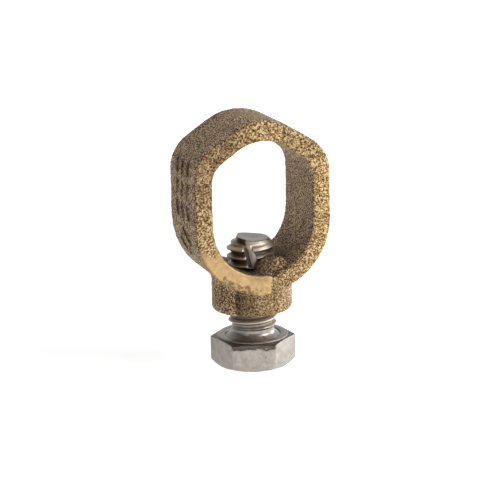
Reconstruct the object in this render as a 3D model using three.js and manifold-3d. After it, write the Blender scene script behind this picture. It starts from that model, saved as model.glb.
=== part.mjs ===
// Ground rod clamp: a one-piece bronze casting, a link-shaped ring on a round tapped boss, and a
// hex-head set bolt, 3/8 in - 16 UNC by 3/4 in, that screws up through the boss. A ground rod and its
// conductor pass through the ring, and the bolt squeezes them against the ring's roof.
//
// Frame, in millimetres: +Z runs up the bolt's axis, from its head to its tip, and the ring's opening
// runs along Y. The origin is on that axis, at the outer end of the bolt's head.
import * as THREE from "three";
import { mergeVertices } from "three/addons/utils/BufferGeometryUtils.js";
import Module from "manifold-3d";

const wasm = await Module();
wasm.setup();

const FULL_TURN = 2 * Math.PI;

// Casting
const RING_DEPTH = 15.2; // front face to back face
const RING_EDGE_BREAK = 0.4; // soft cast edge round both faces
const BOTTOM_CENTRE_Z = 29.0; // centre of the half-round bottom, inside and out
const OUTER = {
  halfWidth: 13.3,
  shoulderZ: 42.05, // where the side and the roof would meet as a sharp corner
  roofSlope: THREE.MathUtils.degToRad(32.3),
  apexRadius: 10.5,
  shoulderRadius: 7.4,
};
const INNER = {
  halfWidth: 9.95,
  shoulderZ: 39.75,
  roofSlope: THREE.MathUtils.degToRad(34.6),
  apexRadius: 8.8,
  shoulderRadius: 4.7,
};
const BOSS_RADIUS = RING_DEPTH / 2; // the boss is flush with both faces of the ring
const BOSS_BOTTOM_Z = 11.15;
const BOSS_EDGE_BREAK = 0.5;
const BOSS_TOP_INSET = 0.35; // the boss ends this far inside the ring's bottom wall
const BOSS_TOP_Z = BOTTOM_CENTRE_Z - INNER.halfWidth - BOSS_TOP_INSET;
const ARC_STEPS = 10;

// Bolt
const HEX_SIDES = 6;
const HEX_ACROSS_FLATS = 14.2875; // 9/16 in
const HEX_TURN = THREE.MathUtils.degToRad(11.5); // one flat's normal, from +X
const HEAD_HEIGHT = 5.8;
const BOLT_LENGTH = 19.05; // 3/4 in, under the head
const HEAD_END_RADIUS = 6.8; // circle that the end chamfer leaves
const HEAD_END_CHAMFER = THREE.MathUtils.degToRad(30);
const HEAD_TOP_CHAMFER = THREE.MathUtils.degToRad(10);
const WASHER_FACE_RADIUS = 6.75;
const WASHER_FACE_THICKNESS = 0.3;
const NECK_FLARE_RADIUS = 5.0; // fillet where the neck meets the head
const NECK_FLARE_HEIGHT = 0.8;
const NECK_RADIUS = 4.1; // plain neck between the head and the thread
const NECK_HEIGHT = 2.6;
const TIP_RADIUS = 3.4; // flat end of the bolt
const LEAD_LENGTH = 2.2; // taper from the flat end to the full thread
const PIECE_GAP = 0.3; // between solids that touch on the real bolt

// Thread, 3/8 in - 16 UNC. The tapped hole's thread is the bolt's thread moved outwards.
const PITCH = 25.4 / 16;
const CREST_RADIUS = 4.7;
const ROOT_RADIUS = 3.85;
const CREST_HALF_WIDTH = 0.1;
const FLANK_TAN = Math.tan(THREE.MathUtils.degToRad(30)); // 60 degree thread
const THREAD_CLEARANCE = 0.3;
const TAPPED_ROOT_RADIUS = CREST_RADIUS + THREAD_CLEARANCE;
const TAPPED_CREST_RADIUS = 4.2;
const TAPPED_ROOT_HALF_WIDTH = 0.2;
const MOUTH_RADIUS = 5.4; // 45 degree countersink at the hole's mouth, which takes the bolt's neck
const STEPS_PER_TURN = 20;
const SINK = 0.15; // how far one joined solid reaches into the next
const WELD_DISTANCE = 1e-4; // points nearer than this are one point

const TIP_Z = HEAD_HEIGHT + BOLT_LENGTH;
const THREAD_START_Z = HEAD_HEIGHT + NECK_HEIGHT;

// ---- solids ----

function toSolid(geometry) {
  const bare = geometry.index ? geometry.toNonIndexed() : geometry.clone();
  bare.deleteAttribute("normal");
  bare.deleteAttribute("uv");
  const merged = mergeVertices(bare, WELD_DISTANCE);
  return new wasm.Manifold(
    new wasm.Mesh({
      numProp: 3,
      vertProperties: merged.attributes.position.array,
      triVerts: new Uint32Array(merged.index.array),
    }),
  );
}

function toGeometry(solid) {
  const mesh = solid.getMesh();
  const geometry = new THREE.BufferGeometry();
  geometry.setAttribute("position", new THREE.BufferAttribute(mesh.vertProperties, mesh.numProp));
  geometry.setIndex(new THREE.BufferAttribute(mesh.triVerts, 1));
  geometry.computeVertexNormals();
  return geometry;
}

function namedMesh(name, geometry, material) {
  const mesh = new THREE.Mesh(geometry, material);
  mesh.name = name;
  return mesh;
}

// A solid of revolution about Z, from [radius, z] pairs that run upwards from the axis back to it.
function turned(profile, segments = 2 * STEPS_PER_TURN) {
  const points = profile.map(([radius, z]) => new THREE.Vector2(radius, z));
  const geometry = new THREE.LatheGeometry(points, segments);
  geometry.rotateX(Math.PI / 2);
  return toSolid(geometry);
}

// ---- thread ----

// A ridge wound round Z as a right-handed helix: a straight bar of the tooth's section, whose own
// length is counted in turns, is bent into the helix.
function threadRidge({ topRadius, baseRadius, topHalfWidth, startZ, endZ }) {
  const baseHalfWidth = topHalfWidth + (topRadius - baseRadius) * FLANK_TAN;
  const tooth = new THREE.Shape([
    new THREE.Vector2(baseRadius, -baseHalfWidth),
    new THREE.Vector2(topRadius, -topHalfWidth),
    new THREE.Vector2(topRadius, topHalfWidth),
    new THREE.Vector2(baseRadius, baseHalfWidth),
  ]);
  // Both threads start on a whole turn below z = 0, so that the bolt and the tapped hole are in mesh.
  const firstTurn = Math.floor(startZ / PITCH) - 1;
  const turns = Math.ceil(endZ / PITCH) + 1 - firstTurn;
  const bar = new THREE.ExtrudeGeometry(tooth, {
    depth: turns,
    steps: turns * STEPS_PER_TURN,
    bevelEnabled: false,
  });
  const position = bar.attributes.position;
  for (let i = 0; i < position.count; i += 1) {
    const radius = position.getX(i);
    const turn = position.getZ(i) + firstTurn;
    const angle = turn * FULL_TURN;
    const z = turn * PITCH - position.getY(i);
    position.setXYZ(i, radius * Math.cos(angle), radius * Math.sin(angle), z);
  }
  return toSolid(bar);
}

// The hole up from mouthZ and its thread grooves, as the solid that is cut out of the casting.
function tappedHole(mouthZ, endZ) {
  const startZ = mouthZ - PITCH;
  const countersunkBore = turned([
    [0, startZ],
    [MOUTH_RADIUS, startZ],
    [MOUTH_RADIUS, mouthZ],
    [TAPPED_CREST_RADIUS, mouthZ + MOUTH_RADIUS - TAPPED_CREST_RADIUS],
    [TAPPED_CREST_RADIUS, endZ],
    [0, endZ],
  ]);
  const grooves = threadRidge({
    topRadius: TAPPED_ROOT_RADIUS,
    baseRadius: TAPPED_CREST_RADIUS - SINK,
    topHalfWidth: TAPPED_ROOT_HALF_WIDTH,
    startZ,
    endZ,
  });
  return countersunkBore.add(grooves);
}

// ---- casting ----

// A link outline: half-round bottom, straight sides, and a pitched roof with round shoulders and apex.
function linkOutline(path, { halfWidth, shoulderZ, roofSlope, apexRadius, shoulderRadius }) {
  const sin = Math.sin(roofSlope);
  const cos = Math.cos(roofSlope);
  const shoulderCentreZ = shoulderZ - (shoulderRadius * (1 - sin)) / cos;
  const apexCentreZ = shoulderZ + (halfWidth * sin - apexRadius) / cos;
  const shoulderX = halfWidth - shoulderRadius;
  const rightRoof = Math.PI / 2 - roofSlope; // direction of the right-hand roof's normal
  const leftRoof = Math.PI / 2 + roofSlope;
  path.absarc(0, BOTTOM_CENTRE_Z, halfWidth, Math.PI, FULL_TURN, false);
  path.absarc(shoulderX, shoulderCentreZ, shoulderRadius, 0, rightRoof, false);
  path.absarc(0, apexCentreZ, apexRadius, rightRoof, leftRoof, false);
  path.absarc(-shoulderX, shoulderCentreZ, shoulderRadius, leftRoof, Math.PI, false);
  path.closePath();
  return path;
}

function ring() {
  const outline = linkOutline(new THREE.Shape(), OUTER);
  outline.holes.push(linkOutline(new THREE.Path(), INNER));
  const straightDepth = RING_DEPTH - 2 * RING_EDGE_BREAK;
  const geometry = new THREE.ExtrudeGeometry(outline, {
    depth: straightDepth,
    curveSegments: ARC_STEPS,
    bevelEnabled: true,
    bevelSegments: 1,
    bevelThickness: RING_EDGE_BREAK,
    bevelSize: RING_EDGE_BREAK,
    bevelOffset: -RING_EDGE_BREAK,
  });
  geometry.translate(0, 0, -straightDepth / 2);
  geometry.rotateX(Math.PI / 2);
  return toSolid(geometry);
}

function boss() {
  return turned([
    [0, BOSS_BOTTOM_Z],
    [BOSS_RADIUS - BOSS_EDGE_BREAK, BOSS_BOTTOM_Z],
    [BOSS_RADIUS, BOSS_BOTTOM_Z + BOSS_EDGE_BREAK],
    [BOSS_RADIUS, BOSS_TOP_Z],
    [0, BOSS_TOP_Z],
  ]);
}

function clampBody() {
  const holeTopZ = BOTTOM_CENTRE_Z - INNER.halfWidth / 2; // well inside the ring's opening
  const hole = tappedHole(BOSS_BOTTOM_Z, holeTopZ);
  return toGeometry(ring().add(boss()).subtract(hole));
}

// ---- bolt ----

function hexHead(height) {
  const cornerRadius = HEX_ACROSS_FLATS / 2 / Math.cos(Math.PI / HEX_SIDES);
  const prism = new THREE.CylinderGeometry(cornerRadius, cornerRadius, height, HEX_SIDES);
  prism.rotateX(Math.PI / 2);
  // One flat faces +X now.
  prism.rotateZ(HEX_TURN);
  prism.translate(0, 0, height / 2);
  const widest = cornerRadius + SINK;
  const endRise = (widest - HEAD_END_RADIUS) * Math.tan(HEAD_END_CHAMFER);
  const topDrop = (widest - WASHER_FACE_RADIUS) * Math.tan(HEAD_TOP_CHAMFER);
  const chamfers = turned([
    [0, 0],
    [HEAD_END_RADIUS, 0],
    [widest, endRise],
    [widest, height - topDrop],
    [WASHER_FACE_RADIUS, height],
    [0, height],
  ]);
  return toSolid(prism).intersect(chamfers);
}

// The neck and the core of the thread, which the ridge is joined to.
function shankCore() {
  return turned([
    [0, HEAD_HEIGHT / 2],
    [NECK_FLARE_RADIUS, HEAD_HEIGHT / 2],
    [NECK_FLARE_RADIUS, HEAD_HEIGHT],
    [NECK_RADIUS, HEAD_HEIGHT + NECK_FLARE_HEIGHT],
    [NECK_RADIUS, THREAD_START_Z],
    [ROOT_RADIUS, THREAD_START_Z + SINK],
    [ROOT_RADIUS, TIP_Z - (ROOT_RADIUS - TIP_RADIUS)],
    [TIP_RADIUS, TIP_Z],
    [0, TIP_Z],
  ]);
}

// The ridge, trimmed to the threaded length and to the tapered lead at the tip.
function boltThread() {
  const ridge = threadRidge({
    topRadius: CREST_RADIUS,
    baseRadius: ROOT_RADIUS - SINK,
    topHalfWidth: CREST_HALF_WIDTH,
    startZ: THREAD_START_Z,
    endZ: TIP_Z,
  });
  const reach = CREST_RADIUS + SINK;
  const threadedLength = turned([
    [0, THREAD_START_Z - SINK],
    [NECK_RADIUS, THREAD_START_Z - SINK],
    [reach, THREAD_START_Z + reach - NECK_RADIUS],
    [reach, TIP_Z - LEAD_LENGTH],
    [TIP_RADIUS + SINK, TIP_Z - SINK],
    [0, TIP_Z - SINK],
  ]);
  return ridge.intersect(threadedLength);
}

function setBolt() {
  const hexHeight = HEAD_HEIGHT - WASHER_FACE_THICKNESS - PIECE_GAP;
  return toGeometry(hexHead(hexHeight).add(shankCore()).add(boltThread()));
}

// The raised bearing face on the inner side of the head. It is part of the bolt, and it travels with it.
function washerFace() {
  const innerRadius = NECK_FLARE_RADIUS + PIECE_GAP;
  const bottomZ = HEAD_HEIGHT - WASHER_FACE_THICKNESS;
  const profile = [
    [innerRadius, bottomZ],
    [WASHER_FACE_RADIUS, bottomZ],
    [WASHER_FACE_RADIUS, HEAD_HEIGHT],
    [innerRadius, HEAD_HEIGHT],
    [innerRadius, bottomZ],
  ];
  return toGeometry(turned(profile));
}

// ---- assembly ----

const castBronze = new THREE.MeshStandardMaterial({ color: 0xb08a52, roughness: 0.75, metalness: 0.8 });
castBronze.name = "cast_bronze";
const boltSteel = new THREE.MeshStandardMaterial({ color: 0xb9b4ad, roughness: 0.35, metalness: 1.0 });
boltSteel.name = "bolt_steel";

const bolt = new THREE.Group();
bolt.add(namedMesh("set_bolt", setBolt(), boltSteel));
bolt.add(namedMesh("bolt_washer_face", washerFace(), boltSteel));

const groundClamp = new THREE.Group();
groundClamp.add(namedMesh("clamp_body", clampBody(), castBronze));
groundClamp.add(bolt);

export default groundClamp;
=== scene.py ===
"""Looks of the ground rod clamp: a sand-cast bronze ring and boss, and its hex-head set bolt.

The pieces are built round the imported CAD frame, in metres, in its own frame: +Z up the bolt's axis from
the head's end face, +Y from the ring's front face to its back face, +X across the ring.
"""
import math

import bpy
import numpy as np
from mathutils import Matrix, Vector, noise


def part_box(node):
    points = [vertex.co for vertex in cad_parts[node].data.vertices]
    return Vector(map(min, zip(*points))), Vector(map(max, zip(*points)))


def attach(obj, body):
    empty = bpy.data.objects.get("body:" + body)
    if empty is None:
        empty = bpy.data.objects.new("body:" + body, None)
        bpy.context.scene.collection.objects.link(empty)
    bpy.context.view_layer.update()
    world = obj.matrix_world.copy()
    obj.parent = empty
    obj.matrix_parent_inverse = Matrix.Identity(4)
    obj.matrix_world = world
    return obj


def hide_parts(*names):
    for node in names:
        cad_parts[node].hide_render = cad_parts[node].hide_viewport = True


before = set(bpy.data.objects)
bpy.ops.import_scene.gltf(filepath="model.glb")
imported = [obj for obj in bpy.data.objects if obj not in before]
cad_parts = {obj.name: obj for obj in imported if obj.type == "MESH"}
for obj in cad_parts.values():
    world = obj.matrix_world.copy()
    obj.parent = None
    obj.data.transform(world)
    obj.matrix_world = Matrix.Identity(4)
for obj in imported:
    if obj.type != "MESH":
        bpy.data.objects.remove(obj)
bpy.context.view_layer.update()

MM = 0.001
FULL_TURN = 2 * math.pi
SMALLEST = 1e-9  # keeps a sum of weights above zero
SHORTEST = 0.001 * MM  # keeps a length above zero
FACING = 0.5  # a point faces a side when its normal leans that way by more than this
OCTAVE_FALL = 1.0  # how fast the octaves of noise get weaker
OCTAVE_RATIO = 2.0  # how much finer each octave is
SEED_SHIFT = 10  # how far apart the noises of different seeds are read

# Casting, after the CAD model, with the boss 0.05 mm wider and its top 0.1 mm lower
RING_DEPTH = 15.2 * MM
BOTTOM_CENTRE_Z = 29.0 * MM
OUTER = {
    "half_width": 13.3 * MM,
    "shoulder_z": 42.05 * MM,
    "slope": math.radians(32.3),
    "apex_radius": 10.5 * MM,
    "shoulder_radius": 7.4 * MM,
}
INNER = {
    "half_width": 9.95 * MM,
    "shoulder_z": 39.75 * MM,
    "slope": math.radians(34.6),
    "apex_radius": 8.8 * MM,
    "shoulder_radius": 4.7 * MM,
}
BOSS_RADIUS = 7.65 * MM
BOSS_BOTTOM_Z = 11.15 * MM
BOSS_TOP_Z = 18.6 * MM

# What the sand mould leaves on it
MOULD_SWELL = 0.07 * MM  # the sand gives this much everywhere
RING_EDGE_ROUND = 0.45 * MM
BOSS_EDGE_ROUND = 0.7 * MM
ROOT_FILLET = 0.9 * MM  # where the boss runs into the ring
CAST_SEED = 7  # for the places of its pits
CAST_STEP = 0.2 * MM  # size of the mesh's cells
CAST_MARGIN = 0.8 * MM  # room left round the casting in the grid
ARC_STEPS = 20
SWELL = 0.11 * MM  # slow unevenness of the walls
SWELL_SIZE = 5.0 * MM
GRAIN = 0.055 * MM  # sand grain
GRAIN_SIZE = 0.62 * MM
SEAM_X = 0.55 * MM  # the mould's parting line, down the front and back of the boss
SEAM_WIDTH = 0.35 * MM
SEAM_HEIGHT = 0.10 * MM
BOSS_TOP_BAND = 2 * MM  # under the boss's top, where the seam ends and the boss turns into ring
TAPPED_TOP_Z = BOTTOM_CENTRE_Z - 5 * MM  # the tapped hole, which stays smooth, is all below this
BURR_PLACE = (2.2 * MM, -5.0 * MM, 19.5 * MM)  # bronze pushed up beside the bolt, right of its front
BURR_SIZE = (3.4 * MM, 1.5 * MM, 2.9 * MM)
BURR_FILLET = 0.6 * MM
PITS = 260  # sand and gas pits
PIT_RADIUS = (0.12 * MM, 0.34 * MM)
PIT_DEPTH = 0.55  # as a share of half the largest pit's radius

# Raised foundry marks on the left-hand wall: rows of plain bars over a lozenge
MARK_ROWS = 3
MARK_COLUMNS = 3
MARK_TOP_Z = 39.6 * MM
MARK_ROW_SPACING = 4.1 * MM
MARK_COLUMN_SPACING = 3.1 * MM
MARK_WIDTH = 0.8 * MM
MARK_LENGTH = 2.7 * MM
MARK_SLANT = math.radians(28)
MARK_HEIGHT = 0.3 * MM
MARK_ROUND = 0.15 * MM
LOZENGE_Z = 25.6 * MM
LOZENGE_TALL = 5.4 * MM
LOZENGE_WIDE = 7.0 * MM
DIRT_REACH = 0.35 * MM  # dirt stays this near the marks
BOLT_SHADE = 0.95  # painted shade round the bolt, inside the ring: how dark it is
BOLT_SHADE_RADIUS = 9 * MM
BOLT_SHADE_RISE = 1 * MM  # it comes in over this height, just below the boss's top
RING_FACE_WRAP = 1.2 * MM  # how far the faces' gold goes round their edges
BOSS_FACE_WRAP = 3.0 * MM
WRAP_CORE = 3  # the gold is whole over the first of this many parts of the wrap
FACE_LEAN = (0.35, 0.85)  # how squarely a point faces front or back where the gold starts and is whole

# Patch of the front face that was ground flat, from the left-hand wall to the parting line
GROUND_TOP_Z = 24.2 * MM
GROUND_EDGE = 0.3 * MM
GROUND_FADE = 2.0 * MM
GROUND_TOP_SLOPE = 0.1
GROUND_WANDER = 1.6 * MM
GROUND_WANDER_SIZE = 2.6 * MM
GROUND_END_CALM = 5  # its end and its lower edge wander this many times less than its top
GROUND_LOW_CALM = 4
GROUND_DEPTH = 0.35 * MM
GROUND_PROUD = 0.12 * MM
NOTCH_PLACE = (1.7 * MM, 19.45 * MM)  # at the patch's end, in the ring's inner edge: x and z
NOTCH_RADIUS = 0.75 * MM
NOTCH_BACK_Y = -5.5 * MM
# Painted light and shade: how light the casting's front is at some (x, z) places in mm, from brown to bare
# gold, darker on the left and low on the boss and lighter on the right
FRONT_PAINTED_LIGHT = (
    ((-11.6, 28), 0.55), ((-11.6, 38), 0.40), ((-7.5, 43.5), 0.31), ((0, 46.5), 0.55),
    ((7.5, 43.5), 0.48), ((11.6, 36), 0.72), ((11.5, 29), 0.70), ((7.5, 20), 0.56),
    ((1.5, 16.5), 0.50), ((-6, 13), 0.04), ((0, 13), 0.26), ((5.5, 13), 0.54),
)
FRONT_PAINTED_LIGHT_REACH = 3.0
PATCH_PITS = 80  # thick along the patch's lower edge
PATCH_PIT_ARC = (math.radians(228), math.radians(270))
PATCH_PIT_REACH = (12.0 * MM, 13.4 * MM)
PATCH_PIT_RADIUS = (0.2 * MM, 0.42 * MM)
PATCH_END_SLOPE = 0.18  # the patch ends at the parting line, which leans right going up
PATCH_END_X = 1.1 * MM

# Bolt, after the CAD model. The thread's start, the lead, the head's top chamfer, the washer face's
# thickness and the neck's flare differ from it a little
HEX_SIDES = 6
HEX_ACROSS_FLATS = 14.2875 * MM
HEX_TURN = math.radians(11.5)
HEAD_HEIGHT = 5.8 * MM
TIP_Z = 24.85 * MM
HEAD_END_RADIUS = 6.8 * MM
HEAD_END_CHAMFER = math.radians(30)
HEAD_TOP_CHAMFER = math.radians(8)
WASHER_FACE_RADIUS = 6.75 * MM
WASHER_FACE_THICKNESS = 0.25 * MM
NECK_FLARE_RADIUS = 5.3 * MM
NECK_FLARE_HEIGHT = 0.9 * MM
NECK_RADIUS = 4.1 * MM
NECK_TOP_Z = 7.3 * MM
TIP_RADIUS = 3.4 * MM
LEAD_LENGTH = 1.6 * MM
PITCH = 25.4 / 16 * MM
CREST_RADIUS = 4.7 * MM
ROOT_RADIUS = 3.85 * MM
CREST_HALF_WIDTH = 0.1 * MM
FLANK_TAN = math.tan(math.radians(30))
TAPPED_ROOT_RADIUS = 5.0 * MM
TAPPED_CREST_RADIUS = 4.2 * MM
MOUTH_RADIUS = 5.4 * MM

# How the bolt is finished
BOLT_SEED = 11  # for the places of its nicks
HEX_CORNER_POWER = 260  # larger is sharper
CORNER_STEPS = 4
END_HUB_RADIUS = 0.5 * MM  # middle of the head's end face
# How much each corner of the profile is rounded, from the end face up to the neck, and at the tip
HEAD_ROUNDINGS = (0.3 * MM, 0.1 * MM, 0.1 * MM, 0.05 * MM, 0.25 * MM, 0.5 * MM)
BOLT_COLUMNS = 240
BOLT_STEP = 0.08 * MM
TIP_ROUNDINGS = (BOLT_STEP / 2, 0.4 * MM)
HEAD_STEP = 0.16 * MM
TIP_RIM_WIDTH = 0.7 * MM
TIP_DISH = 0.25 * MM
WASHER_FACE_EDGE = 0.06 * MM
WASHER_FACE_GAP = 0.005 * MM  # keeps it clear of the head under it
HAMMER = 0.012 * MM  # slow unevenness of the forged head
HAMMER_SIZE = 2.4 * MM
HEAD_TOP_MARGIN = 0.4 * MM  # the nicks stop this far below the head's top, and the unevenness fades
NICKS = 60
NICK_RADIUS = (0.08 * MM, 0.25 * MM)
NICK_DEPTH = 0.3  # as a share of half the largest nick's radius
SHEAR_ANGLE = HEX_TURN - FULL_TURN / 3  # the front flat, whose top edge is torn
SHEAR_BAND = 0.7 * MM
SHEAR_DEPTH = 0.12 * MM
SHEAR_RAGGED = 0.5 * MM
SHEAR_SIZE = 0.7 * MM
SHEAR_EVEN = 0.6  # the share of its depth that is the same all over
SHEAR_TOP_GAP = 0.3 * MM
SHEAR_FADE = 0.2 * MM
SHEAR_FLAT_BAND = (0.25 * MM, 0.05 * MM)  # how near the flat it starts and is whole
CORNER_SCALE = 0.8  # dark scale on the head's inner corners
CORNER_SCALE_FADE = 0.3 * MM
CORNER_SCALE_FACING = 0.7
END_MARGIN = 0.1 * MM  # the end face and the chip are told from the thread by these
CHIP_MARGIN = 0.05 * MM
STAKE_TOP = (24.5 * MM, math.radians(-118.5))  # chisel mark across the first threads: height and angle
STAKE_BOTTOM = (19.9 * MM, math.radians(-95))
STAKE_HALF_WIDTHS = (math.radians(6), math.radians(13))  # at its top and bottom
STAKE_CUT = math.radians(9)  # the cut on its left-hand side
STAKE_CUT_RADIUS = 3.65 * MM
STAKE_LOW_RADIUS = 4.05 * MM
STAKE_HIGH_RADIUS = 4.18 * MM
CHIP_MIDDLE = math.radians(-185)  # left of the mark, the first thread is broken away
CHIP_HALF_WIDTH = math.radians(58)
CHIP_RADIUS = 2.75 * MM
CHIP_Z = 24.0 * MM
LIP_RISE = 0.35 * MM  # and the end face is pushed up
LIP_DIRECTION = math.radians(165)
LIP_REACH = (-1 * MM, 3 * MM)  # from the axis toward it, where the rise starts and is whole
LIP_BAND = (1.2 * MM, 0.2 * MM)  # and the same below the tip

# Camera, at the photograph's viewing angle
CAMERA_AZIMUTH = math.radians(-19.226)
CAMERA_DISTANCE = 325.7 * MM
CAMERA_HEIGHT = 108.34 * MM
CAMERA_YAW = math.radians(0.036)
CAMERA_PITCH = math.radians(14.797)
CAMERA_ROLL = math.radians(-1.245)
CAMERA_LENS = 127.12
CAMERA_SENSOR = 36.0
CAMERA_CLIP = (0.01, 10.0)

# Studio: a white floor that glows as painted light, brighter on the part's right and dimmer on its left as
# painted shade, a world that is brighter on the right and behind, and four softboxes
FLOOR_REACH = 3.0
FLOOR_DROP = 0.02 * MM  # keeps it clear of the bolt's end face
FLOOR_GREY = 0.5
FLOOR_ROUGHNESS = 0.9
FLOOR_DIM_GLOW = 0.6
FLOOR_BRIGHT_GLOW = 1.7
FLOOR_BRIGHT_SIDE = (0.87, -0.5, 0)
FLOOR_GLOW_REACH = 24 * MM
FLOOR_FAR = (60 * MM, 250 * MM)  # between these distances the glow evens out to the far one
FLOOR_FAR_GLOW = 1.1
LIGHT_TARGET = (0, 0, 0.027)
WORLD_BRIGHT_SIDE = (0.75, 0.66, 0)
WORLD_DIM = 0.12
WORLD_BRIGHT = 0.80
SOFTBOXES = {  # place, size and power
    "key_light": ((0.38, -0.26, 0.28), (0.30, 0.30), 2.0),
    "right_light": ((0.45, 0.12, 0.10), (0.22, 0.22), 0.8),
    "top_light": ((0.05, 0.05, 0.55), (0.40, 0.40), 0.7),
    "left_light": ((-0.40, -0.30, 0.20), (0.20, 0.35), 0.25),
}


# ---- meshes ----


def new_object(name, points, faces):
    mesh = bpy.data.meshes.new(name)
    mesh.from_pydata(np.asarray(points).tolist(), [], faces)
    mesh.update()
    mesh.polygons.foreach_set("use_smooth", [True] * len(mesh.polygons))
    obj = bpy.data.objects.new(name, mesh)
    bpy.context.scene.collection.objects.link(obj)
    return obj


def normals_of(obj):
    normals = np.empty(len(obj.data.vertices) * 3, np.float32)
    obj.data.vertex_normals.foreach_get("vector", normals)
    return normals.reshape(-1, 3).astype(float)


def move_points(obj, points):
    obj.data.vertices.foreach_set("co", points.ravel())
    obj.data.update()


def store(obj, name, values):
    """Keeps one number for each point, which a material can read."""
    attribute = obj.data.attributes.new(name, "FLOAT", "POINT")
    attribute.data.foreach_set("value", np.asarray(values, np.float32))


def smooth_step(value, start, end):
    share = np.clip((value - start) / (end - start), 0, 1)
    return share * share * (3 - 2 * share)


def mottle(points, size, octaves=1, seed=0):
    """Smooth noise of about -1 to 1 at each point, with features of the given size."""
    shift = Vector((seed, 2 * seed, 3 * seed)) * SEED_SHIFT
    places = (Vector(point) / size + shift for point in points.tolist())
    return np.array([noise.fractal(place, OCTAVE_FALL, OCTAVE_RATIO, octaves) for place in places])


def dimples(points, centres, radii):
    """How deep each point lies in the nearest of some round dimples, 1 at its middle and 0 outside."""
    depth = np.zeros(len(points))
    for centre, radius in zip(centres, radii):
        near = np.flatnonzero(np.abs(points - centre).max(axis=1) < radius)
        share = np.linalg.norm(points[near] - centre, axis=1) / radius
        depth[near] = np.maximum(depth[near], np.clip(1 - share * share, 0, 1))
    return depth


def slab(array, axis, start, stop):
    """array from start to stop along one axis."""
    cut = [slice(None)] * array.ndim
    cut[axis] = slice(start, stop)
    return array[tuple(cut)]


def surface_of(field, origin, step):
    """Points and quads of the surface where a sampled field is zero, inside being negative.

    Each cell that the surface crosses gets one point, at the mean of where it cuts the cell's edges,
    and each grid edge that it cuts gets one quad, which joins the four cells round that edge.
    """
    inside = field < 0
    cells = tuple(n - 1 for n in field.shape)
    total = np.zeros(cells + (3,))
    count = np.zeros(cells)
    cuts = []
    for axis in range(3):
        near, far = slab(field, axis, 0, -1), slab(field, axis, 1, None)
        cut = slab(inside, axis, 0, -1) != slab(inside, axis, 1, None)
        cuts.append(cut)
        where = np.where(cut, near / np.where(cut, near - far, 1.0), 0.0)
        one, two = (a for a in range(3) if a != axis)
        for i in (0, 1):
            for j in (0, 1):
                hit = slab(slab(cut, one, i, cells[one] + i), two, j, cells[two] + j)
                count += hit
                total[..., axis] += slab(slab(where, one, i, cells[one] + i), two, j, cells[two] + j)
                total[..., one] += i * hit
                total[..., two] += j * hit
    used = count > 0
    points = origin + step * (np.argwhere(used) + total[used] / count[used][:, None])
    number = np.full(cells, -1)
    number[used] = np.arange(len(points))
    low, high = (0, -1), (1, None)
    quads = []
    for axis, cut in enumerate(cuts):
        one, two = (axis + 1) % 3, (axis + 2) % 3
        cut = slab(slab(cut, one, 1, -1), two, 1, -1)
        corners = [
            slab(slab(number, one, *i), two, *j)[cut]
            for i, j in ((low, low), (high, low), (high, high), (low, high))
        ]
        quad = np.stack(corners, axis=-1)
        starts_inside = slab(slab(slab(inside, axis, 0, -1), one, 1, -1), two, 1, -1)[cut]
        quad[~starts_inside] = quad[~starts_inside][:, ::-1]
        quads.append(quad)
    return points, np.concatenate(quads)


# ---- casting ----


def link_outline(half_width, shoulder_z, slope, apex_radius, shoulder_radius):
    """Closed link outline, as (x, z) points: half-round bottom, straight sides, pitched roof."""
    sin, cos = math.sin(slope), math.cos(slope)
    shoulder_x = half_width - shoulder_radius
    shoulder_centre_z = shoulder_z - shoulder_radius * (1 - sin) / cos
    apex_centre_z = shoulder_z + (half_width * sin - apex_radius) / cos
    right, left = math.pi / 2 - slope, math.pi / 2 + slope
    arcs = (
        (0, BOTTOM_CENTRE_Z, half_width, math.pi, FULL_TURN),
        (shoulder_x, shoulder_centre_z, shoulder_radius, 0, right),
        (0, apex_centre_z, apex_radius, right, left),
        (-shoulder_x, shoulder_centre_z, shoulder_radius, left, math.pi),
    )
    points = []
    for x, z, radius, start, end in arcs:
        turn = np.linspace(start, end, ARC_STEPS)
        points.append(np.stack([x + radius * np.cos(turn), z + radius * np.sin(turn)], axis=-1))
    return np.concatenate(points)


def outline_distance(outline, x, z):
    """Signed distance from (x, z) to a closed outline, negative inside it."""
    nearest = np.full(np.broadcast(x, z).shape, np.inf)
    inside = np.zeros(nearest.shape, bool)
    for (ax, az), (bx, bz) in zip(outline, np.roll(outline, -1, axis=0)):
        ex, ez = bx - ax, bz - az
        length = max(math.hypot(ex, ez), SHORTEST)
        share = np.clip(((x - ax) * ex + (z - az) * ez) / length ** 2, 0, 1)
        nearest = np.minimum(nearest, np.hypot(x - ax - share * ex, z - az - share * ez))
        if az != bz:
            inside ^= ((az > z) != (bz > z)) & (x < ax + (z - az) * ex / ez)
    return np.where(inside, -nearest, nearest)


def round_meet(a, b, radius):
    """Distance to where two solids overlap, with their edge rounded."""
    outside = np.hypot(np.maximum(a + radius, 0), np.maximum(b + radius, 0))
    return np.minimum(np.maximum(a, b) + radius, 0) + outside - radius


def fillet_join(a, b, radius):
    """Distance to two solids joined, with a fillet where they meet."""
    inside = np.hypot(np.maximum(radius - a, 0), np.maximum(radius - b, 0))
    return np.maximum(np.minimum(a, b), radius) - inside


def thread_offset(angle, z):
    """Height above or below the middle of the nearest thread ridge, a right-handed helix about Z."""
    return (z - PITCH * angle / FULL_TURN + PITCH / 2) % PITCH - PITCH / 2


def tapped_radius(angle, z):
    flank = np.maximum(np.abs(thread_offset(angle, z)) - 2 * CREST_HALF_WIDTH, 0) / FLANK_TAN
    return np.maximum(TAPPED_ROOT_RADIUS - flank, TAPPED_CREST_RADIUS)


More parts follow.
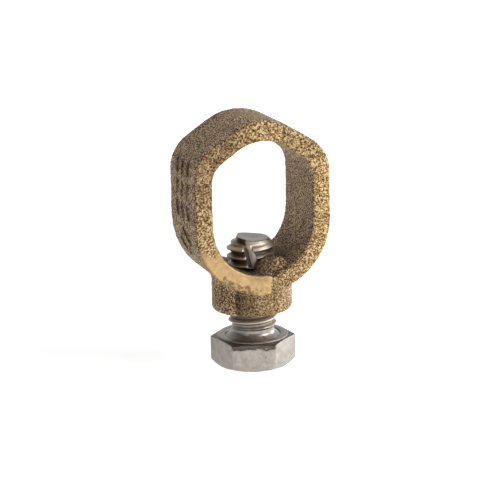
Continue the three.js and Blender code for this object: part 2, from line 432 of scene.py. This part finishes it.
def mark_pattern(y, z):
    """Distance to the foundry marks, seen flat on the left-hand wall."""
    pattern = np.full(np.broadcast(y, z).shape, np.inf)
    for row in range(MARK_ROWS):
        slant = MARK_SLANT * (-1) ** row
        bar_z = z - MARK_TOP_Z + row * MARK_ROW_SPACING
        for column in range(MARK_COLUMNS):
            bar_y = y - (column - (MARK_COLUMNS - 1) / 2) * MARK_COLUMN_SPACING
            across = np.abs(bar_y * math.cos(slant) - bar_z * math.sin(slant)) - MARK_WIDTH / 2
            along = np.abs(bar_y * math.sin(slant) + bar_z * math.cos(slant)) - MARK_LENGTH / 2
            pattern = np.minimum(pattern, np.maximum(across, along))
    reach = np.abs(z - LOZENGE_Z) / LOZENGE_TALL + np.abs(y) / LOZENGE_WIDE
    lozenge = (reach - 0.5) * LOZENGE_WIDE / math.sqrt(2)
    return np.minimum(pattern, np.maximum(lozenge, -lozenge - MARK_WIDTH))


def cast_field(x, y, z):
    """Signed distance to the casting's surface."""
    outer = outline_distance(link_outline(**OUTER), x, z)
    inner = outline_distance(link_outline(**INNER), x, z)
    notch = np.hypot(x - NOTCH_PLACE[0], z - NOTCH_PLACE[1]) - NOTCH_RADIUS
    inner = fillet_join(inner, np.maximum(notch, y - NOTCH_BACK_Y), NOTCH_RADIUS / 2)
    ring = round_meet(outer, np.abs(y) - RING_DEPTH / 2, RING_EDGE_ROUND)
    marks = np.maximum(outer - MARK_HEIGHT, x)
    ring = np.minimum(ring, round_meet(marks, mark_pattern(y, z), MARK_ROUND))
    radius = np.hypot(x, y)
    ends = np.maximum(BOSS_BOTTOM_Z - z, z - BOSS_TOP_Z)
    boss = round_meet(radius - BOSS_RADIUS, ends, BOSS_EDGE_ROUND)
    body = round_meet(fillet_join(ring, boss, ROOT_FILLET), -inner, RING_EDGE_ROUND) - MOULD_SWELL
    offsets = [(axis - middle) / size for axis, middle, size in zip((x, y, z), BURR_PLACE, BURR_SIZE)]
    burr = (np.sqrt(sum(offset ** 2 for offset in offsets)) - 1) * min(BURR_SIZE)
    body = fillet_join(body, burr, BURR_FILLET)
    thread = radius - tapped_radius(np.arctan2(y, x), z)
    countersink = radius - MOUTH_RADIUS + z - BOSS_BOTTOM_Z
    hole = np.maximum(np.minimum(thread, countersink), z - BOTTOM_CENTRE_Z)
    return np.maximum(body, -hole)


def ground_share(points):
    """1 on the patch of the front face that was ground flat, 0 off it."""
    x, y, z = points.T
    flat = points * (1, 0, 1)
    wander = GROUND_WANDER * mottle(flat, GROUND_WANDER_SIZE, octaves=2)
    end_x = PATCH_END_X + PATCH_END_SLOPE * (z - BOTTOM_CENTRE_Z + OUTER["half_width"])
    right = (end_x - x + wander / GROUND_END_CALM) / GROUND_EDGE
    top = (GROUND_TOP_Z - z - x * GROUND_TOP_SLOPE + wander) / GROUND_FADE
    low_radius = OUTER["half_width"] + GROUND_EDGE + wander / GROUND_LOW_CALM
    low = (low_radius - np.hypot(x, z - BOTTOM_CENTRE_Z)) / GROUND_EDGE
    face = (GROUND_DEPTH - y - RING_DEPTH / 2) / GROUND_DEPTH
    return np.clip(np.minimum.reduce([right, top, low, face]), 0, 1)


def front_painted_light(points):
    """Painted light and shade: how light the casting's front is at each point, blended from the places
    listed above.
    """
    total = np.full(len(points), SMALLEST)
    painted_light = np.zeros(len(points))
    for (x, z), value in FRONT_PAINTED_LIGHT:
        gap = np.hypot(points[:, 0] / MM - x, points[:, 2] / MM - z)
        weight = np.exp(-(gap / FRONT_PAINTED_LIGHT_REACH) ** 2 / 2)
        total += weight
        painted_light += weight * value
    return painted_light / total


def cast_pits(points, draw):
    """Places and radii of pits: scattered over the casting, and thick low on the ground patch."""
    scattered = points[draw.integers(0, len(points), PITS)]
    turn = draw.uniform(*PATCH_PIT_ARC, PATCH_PITS)
    reach = draw.uniform(*PATCH_PIT_REACH, PATCH_PITS)
    front = np.full(PATCH_PITS, -RING_DEPTH / 2)
    patch = np.column_stack([reach * np.cos(turn), front, BOTTOM_CENTRE_Z + reach * np.sin(turn)])
    radii = [draw.uniform(*PIT_RADIUS, PITS), draw.uniform(*PATCH_PIT_RADIUS, PATCH_PITS)]
    return np.concatenate([scattered, patch]), np.concatenate(radii)


def cast_relief(points, normals, ground, pits):
    """How far each point stands out, from the walls' swell, sand grain, seam, ground patch and pits."""
    seam = np.clip(1 - np.abs(points[:, 0] - SEAM_X) / SEAM_WIDTH, 0, 1)
    seam *= np.abs(normals[:, 1]) > FACING
    seam *= points[:, 2] < BOSS_TOP_Z - BOSS_TOP_BAND
    relief = SWELL * mottle(points, SWELL_SIZE) * (1 - ground / 2)
    relief += GRAIN * mottle(points, GRAIN_SIZE, octaves=2, seed=1) * (1 - ground)
    relief += SEAM_HEIGHT * seam + GROUND_PROUD * ground
    relief -= PIT_DEPTH * PIT_RADIUS[1] / 2 * pits
    radius = np.hypot(points[:, 0], points[:, 1])
    tapped = (radius < MOUTH_RADIUS + CAST_STEP) & (points[:, 2] < TAPPED_TOP_Z)
    return relief * (1 - tapped)


def near_faces(points):
    """1 at the front and back faces, falling to 0 a little way round their edges."""
    on_boss = smooth_step(-points[:, 2], -BOSS_TOP_Z, -BOSS_TOP_Z + BOSS_TOP_BAND)
    wrap = RING_FACE_WRAP + (BOSS_FACE_WRAP - RING_FACE_WRAP) * on_boss
    return smooth_step(np.abs(points[:, 1]), RING_DEPTH / 2 - wrap, RING_DEPTH / 2 - wrap / WRAP_CORE)


def cast_dirt_and_shade(points, normals):
    """How dark the dirt round the foundry marks and the painted shade round the bolt are."""
    marks = mark_pattern(points[:, 1], points[:, 2])
    on_left_wall = (normals[:, 0] < -FACING) & (points[:, 0] < -BOSS_RADIUS)
    darkening = np.exp(-np.abs(marks) / DIRT_REACH) * on_left_wall
    radius = np.hypot(points[:, 0], points[:, 1])
    # painted shade round the bolt, on the ring's inner bottom, darkest next to the bolt
    bolt_shade = smooth_step(-radius, -BOLT_SHADE_RADIUS, -MOUTH_RADIUS)
    bolt_shade *= smooth_step(points[:, 2], BOSS_TOP_Z - BOLT_SHADE_RISE, BOSS_TOP_Z) * (1 - near_faces(points))
    bolt_shade *= points[:, 2] < BOTTOM_CENTRE_Z
    return np.maximum(darkening, BOLT_SHADE * bolt_shade)


def cast_body():
    low, high = (np.array(corner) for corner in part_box("clamp_body"))
    low, high = low - CAST_MARGIN, high + CAST_MARGIN
    steps = (np.arange(a, b, CAST_STEP) for a, b in zip(low, high))
    x, y, z = np.meshgrid(*steps, indexing="ij", sparse=True)
    points, quads = surface_of(cast_field(x, y, z), low, CAST_STEP)
    body = new_object("cast_body", points, quads.tolist())
    normals = normals_of(body)
    ground = ground_share(points)
    pits = dimples(points, *cast_pits(points, np.random.default_rng(CAST_SEED)))
    move_points(body, points + normals * cast_relief(points, normals, ground, pits)[:, None])
    store(body, "ground", ground)
    store(body, "pit", pits)
    # dirt round the marks, and painted shade round the bolt
    store(body, "darkening", cast_dirt_and_shade(points, normals))
    store(body, "face", smooth_step(np.abs(normals[:, 1]), *FACE_LEAN) * near_faces(points))
    # painted light and shade on the casting's front
    store(body, "painted_light", front_painted_light(points))
    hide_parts("clamp_body")
    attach(body, "clamp")
    return body


# ---- bolt ----


def hex_radius(angle):
    """Distance from the axis to the hex head's side, its corners a little rounded."""
    turn = angle[:, None] - HEX_TURN - np.arange(HEX_SIDES) * FULL_TURN / HEX_SIDES
    facing = np.maximum(np.cos(turn), 0) ** HEX_CORNER_POWER
    return HEX_ACROSS_FLATS / 2 * facing.sum(axis=1) ** (-1 / HEX_CORNER_POWER)


def rounded(corners, sizes):
    """Rows of (radius, z) points through the corners of a profile, each corner rounded to its size."""
    rows = [corners[0]]
    for before, corner, after, size in zip(corners, corners[1:], corners[2:], sizes):
        back, ahead = before - corner, after - corner
        start = corner + back / np.linalg.norm(back, axis=-1, keepdims=True) * size
        end = corner + ahead / np.linalg.norm(ahead, axis=-1, keepdims=True) * size
        for share in np.linspace(0, 1, CORNER_STEPS):
            rows.append((1 - share) ** 2 * start + 2 * share * (1 - share) * corner + share ** 2 * end)
    rows.append(corners[-1])
    return rows


def spaced(rows, step):
    """The same rows with more between them, so that no two are further apart than step."""
    out = [rows[0]]
    for before, after in zip(rows, rows[1:]):
        count = max(1, math.ceil(np.linalg.norm(after - before, axis=-1).max() / step))
        out.extend(before + (after - before) * share for share in np.arange(1, count + 1) / count)
    return out


def turn_from(angle, middle):
    """How far each angle is past the middle one, from half a turn before it to half a turn after."""
    return (angle - middle + math.pi) % FULL_TURN - math.pi


def staked(radius, angle, z):
    """The threads' radius with a slanting chisel mark across the first few of them."""
    (top_z, top_angle), (bottom_z, bottom_angle) = STAKE_TOP, STAKE_BOTTOM
    down = (top_z - z) / (top_z - bottom_z)
    if not 0 <= down <= 1:
        return radius
    middle = top_angle + (bottom_angle - top_angle) * down
    half_width = STAKE_HALF_WIDTHS[0] + (STAKE_HALF_WIDTHS[1] - STAKE_HALF_WIDTHS[0]) * down
    aside = turn_from(angle, middle)
    ramp = smooth_step(aside, -half_width, half_width)
    band = STAKE_LOW_RADIUS + (STAKE_HIGH_RADIUS - STAKE_LOW_RADIUS) * ramp
    on_band = np.abs(aside) < half_width
    on_cut = np.abs(aside + half_width + STAKE_CUT / 2) < STAKE_CUT / 2
    radius = np.where(on_band, band, radius)
    return np.where(on_cut, np.minimum(radius, STAKE_CUT_RADIUS), radius)


def chipped(angle):
    return np.abs(turn_from(angle, CHIP_MIDDLE)) < CHIP_HALF_WIDTH


def lead_radius(z):
    """Radius of the taper at the thread's end. Lower down it is wider than the thread and cuts nothing."""
    return TIP_RADIUS + (TIP_Z - z) * (CREST_RADIUS - TIP_RADIUS) / LEAD_LENGTH


def shank_radius(angle, z):
    """Distance from the axis to the neck and thread, for one height at every angle."""
    flank = np.maximum(np.abs(thread_offset(angle, z)) - CREST_HALF_WIDTH, 0) / FLANK_TAN
    thread = np.maximum(CREST_RADIUS - flank, ROOT_RADIUS)
    run_out = smooth_step(z, NECK_TOP_Z, NECK_TOP_Z + PITCH / 2)
    radius = NECK_RADIUS * (1 - run_out) + thread * run_out
    radius = np.minimum(staked(radius, angle, z), lead_radius(z))
    return np.where(chipped(angle) & (z > CHIP_Z), np.minimum(radius, CHIP_RADIUS), radius)


def revolve(name, angle, rows):
    """A closed mesh from rows of (radius, z) points, one point for each angle, capped by fans."""
    columns = len(angle)
    ring = np.stack([np.cos(angle), np.sin(angle)], axis=-1)
    points = [[[0, 0, rows[0][:, 1].mean()]]]
    points += [np.column_stack([ring * row[:, :1], row[:, 1]]) for row in rows]
    points.append([[0, 0, rows[-1][:, 1].mean()]])
    points = np.concatenate(points)
    first = 1 + np.arange(columns)
    after = np.roll(first, -1)
    step = (columns * np.arange(len(rows) - 1))[:, None, None]
    sides = (np.stack([first, after, after + columns, first + columns], axis=-1) + step).reshape(-1, 4)
    last = len(points) - 1
    tail = (len(rows) - 1) * columns
    fans = [(0, b, a) for a, b in zip(first.tolist(), after.tolist())]
    fans += [(last, a + tail, b + tail) for a, b in zip(first.tolist(), after.tolist())]
    return new_object(name, points, sides.tolist() + fans), points


def row_of(angle, radius, z):
    """One row of (radius, z) points, one for each angle."""
    return np.stack([np.broadcast_to(radius, angle.shape), np.broadcast_to(z, angle.shape)], axis=-1)


def head_rows(angle):
    """The profile of the head and neck, from the middle of the end face up to the thread."""
    side = hex_radius(angle)
    top = HEAD_HEIGHT - WASHER_FACE_THICKNESS
    end_rise = np.maximum(side - HEAD_END_RADIUS, 0) * math.tan(HEAD_END_CHAMFER)
    top_drop = np.maximum(side - WASHER_FACE_RADIUS, 0) * math.tan(HEAD_TOP_CHAMFER)
    profile = (
        (END_HUB_RADIUS, 0),
        (HEAD_END_RADIUS, 0),
        (side, end_rise),
        (side, top - top_drop),
        (WASHER_FACE_RADIUS, top),
        (NECK_FLARE_RADIUS, top),
        (NECK_RADIUS, top + NECK_FLARE_HEIGHT),
        (NECK_RADIUS, NECK_TOP_Z),
    )
    return rounded([row_of(angle, *corner) for corner in profile], HEAD_ROUNDINGS)


def tip_rows(angle):
    """The profile of the thread's end and the dished end face."""
    rim = np.where(chipped(angle), CHIP_RADIUS, TIP_RADIUS)
    profile = (
        (rim, TIP_Z - BOLT_STEP / 2),
        (rim - BOLT_STEP, TIP_Z),
        (rim - TIP_RIM_WIDTH, TIP_Z),
        (BOLT_STEP, TIP_Z - TIP_DISH),
    )
    return rounded([row_of(angle, *corner) for corner in profile], TIP_ROUNDINGS)


def bolt_rows(angle):
    heights = np.arange(NECK_TOP_Z, TIP_Z - BOLT_STEP, BOLT_STEP)[1:]
    shank = [row_of(angle, shank_radius(angle, z), z) for z in heights]
    return spaced(head_rows(angle), HEAD_STEP) + shank + spaced(tip_rows(angle), HEAD_STEP)


def torn_edge(points):
    """Where the top edge of the front flat is torn, and how raggedly."""
    across = points @ (math.cos(SHEAR_ANGLE), math.sin(SHEAR_ANGLE), 0)
    start, whole = (HEX_ACROSS_FLATS / 2 - gap for gap in SHEAR_FLAT_BAND)
    low = HEAD_HEIGHT - WASHER_FACE_THICKNESS - SHEAR_TOP_GAP - SHEAR_BAND
    ragged = mottle(points * (1, 1, 2), SHEAR_SIZE, octaves=3, seed=2)
    height = points[:, 2] + SHEAR_RAGGED * ragged
    return smooth_step(across, start, whole) * smooth_step(height, low, low + SHEAR_FADE), ragged


def bolt_nicks(points, normals):
    """Small dents scattered over the bolt's sides."""
    draw = np.random.default_rng(BOLT_SEED)
    on_sides = points[np.abs(normals[:, 2]) < FACING]
    places = on_sides[draw.integers(0, len(on_sides), NICKS)]
    nicks = dimples(points, places, draw.uniform(*NICK_RADIUS, NICKS))
    return nicks * (points[:, 2] < HEAD_HEIGHT - HEAD_TOP_MARGIN)


def lip_lift(points):
    """How far the end face is pushed up at each point."""
    toward = points @ (math.cos(LIP_DIRECTION), math.sin(LIP_DIRECTION), 0)
    start, whole = (TIP_Z - gap for gap in LIP_BAND)
    return LIP_RISE * smooth_step(toward, *LIP_REACH) * smooth_step(points[:, 2], start, whole)


def corner_scale(points, normals):
    """Where dark scale lies on the head's inner corners, outside the washer face."""
    radius = np.hypot(points[:, 0], points[:, 1])
    outside = smooth_step(radius, WASHER_FACE_RADIUS, WASHER_FACE_RADIUS + CORNER_SCALE_FADE)
    return outside * (normals[:, 2] > CORNER_SCALE_FACING)


def thread_depth(points):
    """Which points are on the thread, and how far down from crest to root each point lies."""
    radius = np.hypot(points[:, 0], points[:, 1])
    on_end = (points[:, 2] > TIP_Z - END_MARGIN) | (radius < CHIP_RADIUS - CHIP_MARGIN)
    on_thread = smooth_step(points[:, 2], NECK_TOP_Z, NECK_TOP_Z + PITCH) * ~on_end
    crest = np.minimum(CREST_RADIUS, lead_radius(points[:, 2]))
    return on_thread, np.clip((crest - radius) / (CREST_RADIUS - ROOT_RADIUS), 0, 1)


def set_bolt():
    to_corner = FULL_TURN / HEX_SIDES / 2
    angle = HEX_TURN + to_corner + np.arange(BOLT_COLUMNS) * FULL_TURN / BOLT_COLUMNS
    bolt, points = revolve("hex_set_bolt", angle, bolt_rows(angle))
    normals = normals_of(bolt)
    torn, ragged = torn_edge(points)
    nicks = bolt_nicks(points, normals)
    on_head = smooth_step(-points[:, 2], -HEAD_HEIGHT, -HEAD_HEIGHT + HEAD_TOP_MARGIN)
    inward = SHEAR_DEPTH * torn * (SHEAR_EVEN + (1 - SHEAR_EVEN) * ragged)
    inward += NICK_DEPTH * NICK_RADIUS[1] * nicks / 2
    inward += HAMMER * mottle(points, HAMMER_SIZE, octaves=2, seed=3) * on_head
    lift = lip_lift(points)[:, None] * (0, 0, 1)
    move_points(bolt, points - normals * inward[:, None] + lift)
    scale = corner_scale(points, normals)
    on_thread, depth = thread_depth(points)
    store(bolt, "torn", np.maximum.reduce([torn, nicks, CORNER_SCALE * scale]))
    store(bolt, "thread", on_thread)
    # painted shade in the thread roots, darker the deeper a point lies between the crests
    store(bolt, "root_shade", on_thread * depth)
    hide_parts("set_bolt")
    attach(bolt, "bolt")
    return bolt


def washer_face():
    angle = np.arange(BOLT_COLUMNS) * FULL_TURN / BOLT_COLUMNS
    bottom, top = HEAD_HEIGHT - WASHER_FACE_THICKNESS, HEAD_HEIGHT
    edge = WASHER_FACE_EDGE
    section = (
        (NECK_FLARE_RADIUS + edge, bottom + WASHER_FACE_GAP),
        (WASHER_FACE_RADIUS, bottom + WASHER_FACE_GAP),
        (WASHER_FACE_RADIUS, top - edge),
        (WASHER_FACE_RADIUS - edge, top),
        (NECK_FLARE_RADIUS + 3 * edge, top),
        (NECK_FLARE_RADIUS + edge, top - 2 * edge),
    )
    cos, sin, flat = np.cos(angle), np.sin(angle), np.ones(BOLT_COLUMNS)
    points = [np.column_stack([r * cos, r * sin, z * flat]) for r, z in section]
    grid = np.arange(len(section) * BOLT_COLUMNS).reshape(len(section), BOLT_COLUMNS)
    next_row, next_column = np.roll(grid, -1, axis=0), np.roll(grid, -1, axis=1)
    next_both = np.roll(next_row, -1, axis=1)
    faces = np.stack([grid, next_column, next_both, next_row], axis=-1).reshape(-1, 4)
    ring = new_object("washer_face", np.concatenate(points), faces.tolist())
    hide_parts("bolt_washer_face")
    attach(ring, "bolt_carrier")
    return ring


# ---- materials ----


def srgb(red, green, blue):
    """A colour given as 0 to 255 screen values, as the linear values that shaders use."""
    scaled = (c / 255 for c in (red, green, blue))
    return tuple(c / 12.92 if c <= 0.04045 else ((c + 0.055) / 1.055) ** 2.4 for c in scaled)


def grey(value):
    return (value, value, value)


# Ramps, as places on a 0 to 1 scale and the colours there
GOLD_RAMP = (
    (0.32, srgb(72, 44, 26)),
    (0.43, srgb(142, 104, 62)),
    (0.53, srgb(206, 168, 112)),
    (0.65, srgb(255, 236, 186)),
)
SKIN_RAMP = (
    (0.36, srgb(48, 33, 23)),
    (0.48, srgb(108, 84, 60)),
    (0.60, srgb(208, 180, 142)),
)
GROUND_RAMP = ((0.3, srgb(152, 123, 82)), (0.7, srgb(181, 152, 107)))
WEAR_RAMP = ((0.55, grey(0.0)), (0.85, grey(1.0)))
# painted light and shade on the front, from dark brown shade to full light
PAINTED_LIGHT_RAMP = ((0.0, (0.10, 0.085, 0.075)), (1.0, grey(1.0)))
PATCH_RAMP = ((0.35, (0.74, 0.70, 0.67)), (0.62, grey(1.0)))
CAST_ROUGH_RAMP = ((0.3, grey(0.8)), (0.7, grey(0.5)))
STEEL_RAMP = ((0.3, srgb(128, 121, 115)), (0.7, srgb(164, 157, 150)))
SPECK_RAMP = ((0.28, grey(0.45)), (0.36, grey(1.0)))
STEEL_ROUGH_RAMP = ((0.3, grey(0.28)), (0.7, grey(0.42)))

# Plain colours, and how strongly each covers what is under it
# dark of the pits, of the dirt round the marks and of the painted shade round the bolt
DIRT_AND_SHADE_COLOUR, DIRT_AND_SHADE_COVER = srgb(58, 38, 24), 0.8
TORN_COLOUR, TORN_COVER = srgb(60, 50, 42), 0.85
THREAD_COLOUR, THREAD_COVER = srgb(216, 205, 190), 0.8
# painted shade in the thread roots
ROOT_SHADE_COLOUR, ROOT_SHADE_COVER = srgb(48, 38, 30), 0.85

# The rest of the two metals
CAST_METALLIC = 0.6
CAST_GRAIN_SIZE = 0.30 * MM
CAST_FINE_SIZE = 0.16 * MM
CAST_FINE_SHARE = 0.35  # of the bump, the rest being the grain
CAST_BLOTCH_SIZE = 3.2 * MM
CAST_BLOTCH_SHARE = 0.5  # of the wear that bares the gold
CAST_BUMP = 0.12 * MM
GROUND_BLOTCH_SIZE = 0.9 * MM
GROUND_ROUGHNESS = 0.45
GROUND_BUMP_SHARE = 0.25
STEEL_METALLIC = 1.0
STEEL_SMEAR_SIZE = 1.5 * MM
STEEL_SPECK_SIZE = 0.22 * MM
STEEL_SPECK_SHARE = 0.5  # of the bump, the rest being the smear
STEEL_BUMP = 0.02 * MM
THREAD_ROUGHNESS = 0.5
MIX_SOCKETS = (0, 6, 7)  # share, first and second colour on Blender's mix node, whose names repeat
MIX_RESULT = 2


class Nodes:
    """Adds shader nodes to one material and joins them up."""

    def __init__(self, name):
        self.material = bpy.data.materials.new(name)
        self.material.use_nodes = True
        self.tree = self.material.node_tree
        self.shader = self.tree.nodes["Principled BSDF"]
        self.place = self.add("ShaderNodeTexCoord").outputs["Object"]

    def add(self, kind, **settings):
        node = self.tree.nodes.new(kind)
        for key, value in settings.items():
            setattr(node, key, value)
        return node

    def feed(self, source, target):
        """Joins a socket, or sets a number or colour."""
        if isinstance(source, bpy.types.NodeSocket):
            self.tree.links.new(source, target)
        elif isinstance(source, tuple):
            target.default_value = (*source, 1)
        else:
            target.default_value = source

    def attribute(self, name):
        return self.add("ShaderNodeAttribute", attribute_name=name).outputs["Fac"]

    def noise(self, size, detail=4.0, roughness=0.6, distortion=0.0):
        node = self.add("ShaderNodeTexNoise")
        node.inputs["Scale"].default_value = 1 / size
        node.inputs["Detail"].default_value = detail
        node.inputs["Roughness"].default_value = roughness
        node.inputs["Distortion"].default_value = distortion
        self.feed(self.place, node.inputs["Vector"])
        return node.outputs["Fac"]

    def ramp(self, source, *stops):
        node = self.add("ShaderNodeValToRGB")
        elements = node.color_ramp.elements
        while len(elements) < len(stops):
            elements.new(0.5)
        for element, (position, colour) in zip(elements, stops):
            element.position = position
            element.color = (*colour, 1)
        self.feed(source, node.inputs["Fac"])
        return node.outputs["Color"]

    def mix(self, share, first, second, mode="MIX"):
        node = self.add("ShaderNodeMix", data_type="RGBA", blend_type=mode)
        for source, socket in zip((share, first, second), MIX_SOCKETS):
            self.feed(source, node.inputs[socket])
        return node.outputs[MIX_RESULT]

    def cover(self, name, share, under, colour):
        """Puts a plain colour over another where an attribute says."""
        return self.mix(self.maths("MULTIPLY", self.attribute(name), share), under, colour)

    def maths(self, operation, first, second):
        node = self.add("ShaderNodeMath", operation=operation)
        self.feed(first, node.inputs[0])
        self.feed(second, node.inputs[1])
        return node.outputs[0]

    def bump(self, height, distance):
        node = self.add("ShaderNodeBump")
        node.inputs["Distance"].default_value = distance
        self.feed(height, node.inputs["Height"])
        self.feed(node.outputs["Normal"], self.shader.inputs["Normal"])

    def set(self, socket, source):
        """Sets one of the shader's sockets."""
        self.feed(source, self.shader.inputs[socket])


def cast_bronze():
    """Sand-cast bronze: gold and brown grain on the faces, grey-brown skin on the walls, with painted
    light and shade across the front and painted shade round the bolt.
    """
    nodes = Nodes("cast_bronze")
    grain = nodes.noise(CAST_GRAIN_SIZE, detail=2.0)
    fine = nodes.noise(CAST_FINE_SIZE, detail=2.0)
    blotch = nodes.noise(CAST_BLOTCH_SIZE, roughness=0.65)
    ground = nodes.attribute("ground")
    # the front's gold is darkened and lightened here by painted light and shade
    painted_light = nodes.ramp(nodes.attribute("painted_light"), *PAINTED_LIGHT_RAMP)
    gold = nodes.mix(1.0, nodes.ramp(grain, *GOLD_RAMP), painted_light, mode="MULTIPLY")
    wear = nodes.maths("ADD", nodes.attribute("face"), nodes.maths("MULTIPLY", blotch, CAST_BLOTCH_SHARE))
    cast = nodes.mix(nodes.ramp(wear, *WEAR_RAMP), nodes.ramp(grain, *SKIN_RAMP), gold)
    cast = nodes.mix(1.0, cast, nodes.ramp(blotch, *PATCH_RAMP), mode="MULTIPLY")
    colour = nodes.mix(ground, cast, nodes.ramp(nodes.noise(GROUND_BLOTCH_SIZE), *GROUND_RAMP))
    # pits, dirt round the marks and painted shade round the bolt
    dark = nodes.maths("MAXIMUM", nodes.attribute("pit"), nodes.attribute("darkening"))
    nodes.set("Base Color", nodes.mix(nodes.maths("MULTIPLY", dark, DIRT_AND_SHADE_COVER), colour, DIRT_AND_SHADE_COLOUR))
    nodes.set("Metallic", CAST_METALLIC)
    rough = nodes.ramp(grain, *CAST_ROUGH_RAMP)
    nodes.set("Roughness", nodes.mix(ground, rough, grey(GROUND_ROUGHNESS)))
    ground_height = nodes.maths("MULTIPLY", fine, GROUND_BUMP_SHARE)
    nodes.bump(nodes.mix(ground, nodes.mix(CAST_FINE_SHARE, grain, fine), ground_height), CAST_BUMP)
    return nodes.material


def bolt_steel():
    """Bright cold-forged stainless steel, smeared and a little scuffed, dark where it is torn, with
    painted shade in the thread roots.
    """
    nodes = Nodes("bolt_steel")
    smear = nodes.noise(STEEL_SMEAR_SIZE, detail=5.0, distortion=0.5)
    speck = nodes.noise(STEEL_SPECK_SIZE, detail=2.0)
    specks = nodes.ramp(speck, *SPECK_RAMP)
    colour = nodes.mix(1.0, nodes.ramp(smear, *STEEL_RAMP), specks, mode="MULTIPLY")
    colour = nodes.cover("torn", TORN_COVER, colour, TORN_COLOUR)
    colour = nodes.cover("thread", THREAD_COVER, colour, THREAD_COLOUR)
    # painted shade in the thread roots
    colour = nodes.cover("root_shade", ROOT_SHADE_COVER, colour, ROOT_SHADE_COLOUR)
    nodes.set("Base Color", colour)
    nodes.set("Metallic", STEEL_METALLIC)
    rough = nodes.ramp(smear, *STEEL_ROUGH_RAMP)
    nodes.set("Roughness", nodes.mix(nodes.attribute("thread"), rough, grey(THREAD_ROUGHNESS)))
    nodes.bump(nodes.mix(STEEL_SPECK_SHARE, smear, speck), STEEL_BUMP)
    return nodes.material


# ---- stage ----


def make_camera():
    data = bpy.data.cameras.new("camera")
    data.lens = CAMERA_LENS
    data.sensor_width = CAMERA_SENSOR
    data.clip_start, data.clip_end = CAMERA_CLIP
    camera = bpy.data.objects.new("camera", data)
    bpy.context.scene.collection.objects.link(camera)
    camera.location = (
        CAMERA_DISTANCE * math.sin(CAMERA_AZIMUTH),
        -CAMERA_DISTANCE * math.cos(CAMERA_AZIMUTH),
        CAMERA_HEIGHT,
    )
    heading = CAMERA_AZIMUTH + CAMERA_YAW
    level = math.cos(CAMERA_PITCH)
    forward = Vector((-math.sin(heading) * level, math.cos(heading) * level, -math.sin(CAMERA_PITCH)))
    right = forward.cross(Vector((0, 0, 1))).normalized()
    up = right.cross(forward)
    sin, cos = math.sin(CAMERA_ROLL), math.cos(CAMERA_ROLL)
    axes = Matrix((right * cos + up * sin, up * cos - right * sin, -forward))
    camera.rotation_euler = axes.transposed().to_euler()
    bpy.context.scene.camera = camera


def gradient(tree, place, side, reach, ends):
    """A number that goes smoothly from one end to the other, from -reach to reach toward a side."""
    toward = tree.nodes.new("ShaderNodeVectorMath")
    toward.operation = "DOT_PRODUCT"
    toward.inputs[1].default_value = side
    share = tree.nodes.new("ShaderNodeMapRange")
    share.interpolation_type = "SMOOTHSTEP"
    share.inputs["From Min"].default_value = -reach
    share.inputs["From Max"].default_value = reach
    share.inputs["To Min"].default_value, share.inputs["To Max"].default_value = ends
    tree.links.new(place, toward.inputs[0])
    tree.links.new(toward.outputs["Value"], share.inputs["Value"])
    return share.outputs["Result"]


def make_floor():
    reach, drop = FLOOR_REACH, -FLOOR_DROP
    corners = [(-reach, -reach, drop), (reach, -reach, drop), (reach, reach, drop), (-reach, reach, drop)]
    floor = new_object("floor", corners, [(0, 1, 2, 3)])
    nodes = Nodes("glowing_floor")
    nodes.set("Base Color", grey(FLOOR_GREY))
    nodes.set("Roughness", FLOOR_ROUGHNESS)
    nodes.set("Emission Color", grey(1.0))
    # painted light and shade on the floor: it glows brighter on the part's right, dimmer on its left near
    # the part, and evenly far away
    ends = (FLOOR_DIM_GLOW, FLOOR_BRIGHT_GLOW)
    glow = gradient(nodes.tree, nodes.place, FLOOR_BRIGHT_SIDE, FLOOR_GLOW_REACH, ends)
    distance = nodes.add("ShaderNodeVectorMath", operation="LENGTH")
    nodes.feed(nodes.place, distance.inputs[0])
    far = nodes.add("ShaderNodeMapRange", interpolation_type="SMOOTHSTEP")
    far.inputs["From Min"].default_value, far.inputs["From Max"].default_value = FLOOR_FAR
    far.inputs["To Max"].default_value = FLOOR_FAR_GLOW
    nodes.feed(distance.outputs["Value"], far.inputs["Value"])
    nodes.set("Emission Strength", nodes.maths("MAXIMUM", glow, far.outputs["Result"]))
    floor.data.materials.append(nodes.material)


def softbox(name, place, size, power):
    data = bpy.data.lights.new(name, "AREA")
    data.shape = "RECTANGLE"
    data.size, data.size_y = size
    data.energy = power
    light = bpy.data.objects.new(name, data)
    light.location = place
    light.rotation_euler = (Vector(LIGHT_TARGET) - Vector(place)).to_track_quat("-Z", "Y").to_euler()
    bpy.context.scene.collection.objects.link(light)


def make_lights():
    world = bpy.data.worlds.new("studio")
    world.use_nodes = True
    tree = world.node_tree
    tree.nodes["Background"].inputs["Color"].default_value = (1, 1, 1, 1)
    direction = tree.nodes.new("ShaderNodeTexCoord").outputs["Generated"]
    strength = gradient(tree, direction, WORLD_BRIGHT_SIDE, 1, (WORLD_DIM, WORLD_BRIGHT))
    tree.links.new(strength, tree.nodes["Background"].inputs["Strength"])
    bpy.context.scene.world = world
    for name, (place, size, power) in SOFTBOXES.items():
        softbox(name, place, size, power)


make_camera()
make_floor()
make_lights()
cast_body().data.materials.append(cast_bronze())
steel = bolt_steel()
for steel_piece in (set_bolt(), washer_face()):
    steel_piece.data.materials.append(steel)
bpy.context.scene.view_settings.view_transform = "Standard"
